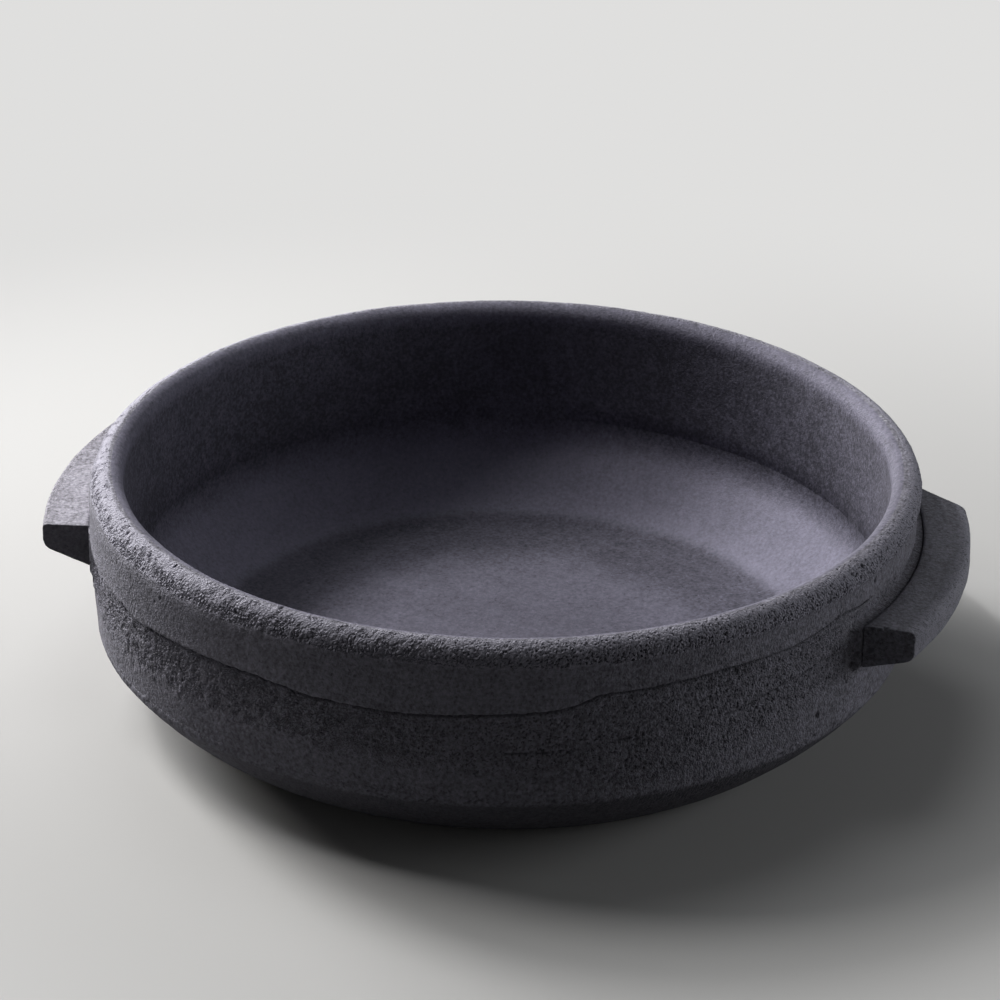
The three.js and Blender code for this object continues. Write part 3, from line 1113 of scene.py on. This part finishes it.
def lutingPad(name, values, shape):
    # Clay smeared from the lug onto the wall: full at the lug, feathered out into the wall.
    front, back, hand = shape["front"], values["back"], shape["hand"]
    lugTop, lugBottom, bottom = lug["top"], lug["rootBottom"], values["bottom"]
    widths = np.arange(front[1] - 2, back[1] + 2, values["spacing"])
    heights = np.arange(bottom - 2, lugTop + 4, values["spacing"])
    width, height = np.meshgrid(widths, heights, indexing="ij")
    ragged = 0.5 * np.sin(height * 0.9 + width * 0.35)
    ragged += 0.35 * np.sin(height * 2.1 - width * 0.6 + 1)
    outline = front[1] - values["frontLean"] * (height - 44) + ragged
    far = [(front[0] - width) / (front[0] - outline),
           (width - back[0]) / (back[1] - back[0] + ragged),
           (lugBottom - height) / (lugBottom - bottom + 0.6 * np.sin(width * 0.4)),
           (height - lugTop + 0.5) / np.where(width < front[0], 2.6, 0.6)]
    full = np.ones_like(width)
    laid = np.ones_like(width)
    for share in far:
        full *= (1 - np.clip(share * 1.4, 0, 1)) ** 3
        laid *= np.clip((1 - share) * 5, 0, 1)
    turn = width / values["widthRadius"]
    angle = turn if hand > 0 else np.pi - turn
    shift = relief["leftShift"] * np.cos(angle - math.radians(relief["shiftTowards"]))
    wall = np.interp(height, values["wallHeights"], values["wallRadii"]) + shift
    wall = wall - values["sunk"] + (values["sunk"] + values["layer"]) * laid
    radius = wall + (shape["reach"] - wall) * full
    outer = roundPlaces(radius, angle, height)
    inner = roundPlaces(values["backRadius"], angle, height)
    size = width.size
    grid = np.arange(size).reshape(width.shape)
    corners = [grid[:-1, :-1], grid[1:, :-1], grid[1:, 1:], grid[:-1, 1:]]
    sheet = np.stack([corner.ravel() for corner in corners], 1)
    ring = np.concatenate([grid[:, 0], grid[-1, 1:], grid[-2::-1, -1], grid[0, -2:0:-1]])
    after = np.roll(ring, -1)
    border = np.stack([after, ring, size + ring, size + after], 1)
    faces = np.concatenate([sheet, size + sheet[:, ::-1], border]).tolist()
    return closedPiece(name, np.concatenate([outer, inner]), faces, hand)


def makeLuting(name, node, values, shape):
    pressPiece(lutingPad(name, values, shape), node, values, shape)


makeLuting("rightLugClay", "right_lug_clay", lutingClay, rightLuting)
makeLuting("leftLugClay", "left_lug_clay", lutingClay, leftLuting)


# Floor and light

light = {
    "floorColour": (0.5, 0.497, 0.49),
    "floorBounce": (0.16, 0.16, 0.164),
    "farColour": (0.74, 0.737, 0.73),
    # name, degrees round the pot, degrees up, distance, width, strength, colour
    "lamps": [
        ("highKey", 155, 42, 1.0, 0.25, 0.6, (1, 0.99, 0.98)),
        ("leftKey", 176, 47, 1.0, 0.3, 0.37, (1, 0.99, 0.98)),
        ("lowKey", 150, 13, 0.9, 0.35, 1.3, (1, 0.99, 0.98)),
        ("sideFill", 20, 9, 1.2, 0.8, 0.33, (0.95, 0.975, 1)),
        ("topFill", 110, 70, 1.2, 0.6, 0.12, (0.95, 0.975, 1)),
    ],
    "slopeLamp": {"turn": 185, "up": 62, "away": 0.9, "strength": 0.48, "spread": 7.5,
                  "size": 0.02, "goal": (0.079, 0.049, 0.014)},
    "goal": (0, 0, 0.04),
    "floorReach": 8,
    "farFade": (0.12, 0.36),
    "world": (0.74, 0.737, 0.73),
    "worldStrength": 0.014,
}


def around(turn, up, away):
    turn, up = math.radians(turn), math.radians(up)
    flat = math.cos(up)
    return Vector((math.cos(turn) * flat, math.sin(turn) * flat, math.sin(up))) * away


def placeLamp(data, place, goal):
    lamp = addObject(data.name, data)
    lamp.location = place
    lamp.rotation_euler = (goal - place).to_track_quat("-Z", "Y").to_euler()


def seenDirectly(bench):
    # 1 for the rays that show the background itself, 0 for the light that it throws back.
    rays = bench.node("ShaderNodeLightPath")
    return larger(*[rays.other(f"Is {kind} Ray") for kind in ("Camera", "Glossy", "Transmission")])


def layFloor(values):
    mesh = bpy.data.meshes.new("tableTop")
    reach = values["floorReach"]
    corners = [(-reach, -reach, 0), (reach, -reach, 0), (reach, reach, 0), (-reach, reach, 0)]
    mesh.from_pydata(corners, [], [(0, 1, 2, 3)])
    floor = addObject("tableTop", mesh)
    coat = bpy.data.materials.new("tablePaint")
    coat.use_nodes = True
    tree = coat.node_tree
    bench = Wire(tree)
    shader = tree.nodes["Principled BSDF"]
    shader.inputs["Roughness"].default_value = 0.95
    seen = seenDirectly(bench)
    colour = mixed(seen, (*values["floorBounce"], 1), (*values["floorColour"], 1))
    bench.feed(shader, {"Base Color": colour})
    x, y, _ = parts(bench.node("ShaderNodeTexCoord", output="Object"))
    far = fade(distance(x, y), *values["farFade"]) * seen
    glow = {"Color": (*values["farColour"], 1), "Strength": 1.0}
    painted = bench.node("ShaderNodeMixShader", None, {
        0: far, 1: Wire(tree, shader.outputs[0]), 2: bench.node("ShaderNodeEmission", None, glow)})
    bench.feed(tree.nodes["Material Output"], {"Surface": painted})
    mesh.materials.append(coat)


def lightPot(values):
    goal = Vector(values["goal"])
    for name, turn, up, away, width, strength, colour in values["lamps"]:
        data = bpy.data.lights.new(name, "AREA")
        data.shape = "DISK"
        data.size = width
        data.color = colour
        data.energy = strength * (math.pi * away) ** 2
        placeLamp(data, goal + around(turn, up, away), goal)
    slope = values["slopeLamp"]
    data = bpy.data.lights.new("slopeLamp", "SPOT")
    data.spot_size = math.radians(slope["spread"])
    data.spot_blend = 1
    data.shadow_soft_size = slope["size"]
    data.energy = slope["strength"] * 4 * (math.pi * slope["away"]) ** 2
    goal = Vector(slope["goal"])
    placeLamp(data, goal + around(slope["turn"], slope["up"], slope["away"]), goal)
    world = bpy.data.worlds.new("potWorld")
    bpy.context.scene.world = world
    world.use_nodes = True
    bench = Wire(world.node_tree)
    seen = seenDirectly(bench)
    strength = seen + (1 - seen) * values["worldStrength"]
    sky = {"Color": (*values["world"], 1), "Strength": strength}
    bench.feed(world.node_tree.nodes["Background"], sky)


layFloor(light)
lightPot(light)
bpy.context.scene.view_settings.view_transform = "Standard"
print("floor and light set")

bpy.context.view_layer.update()
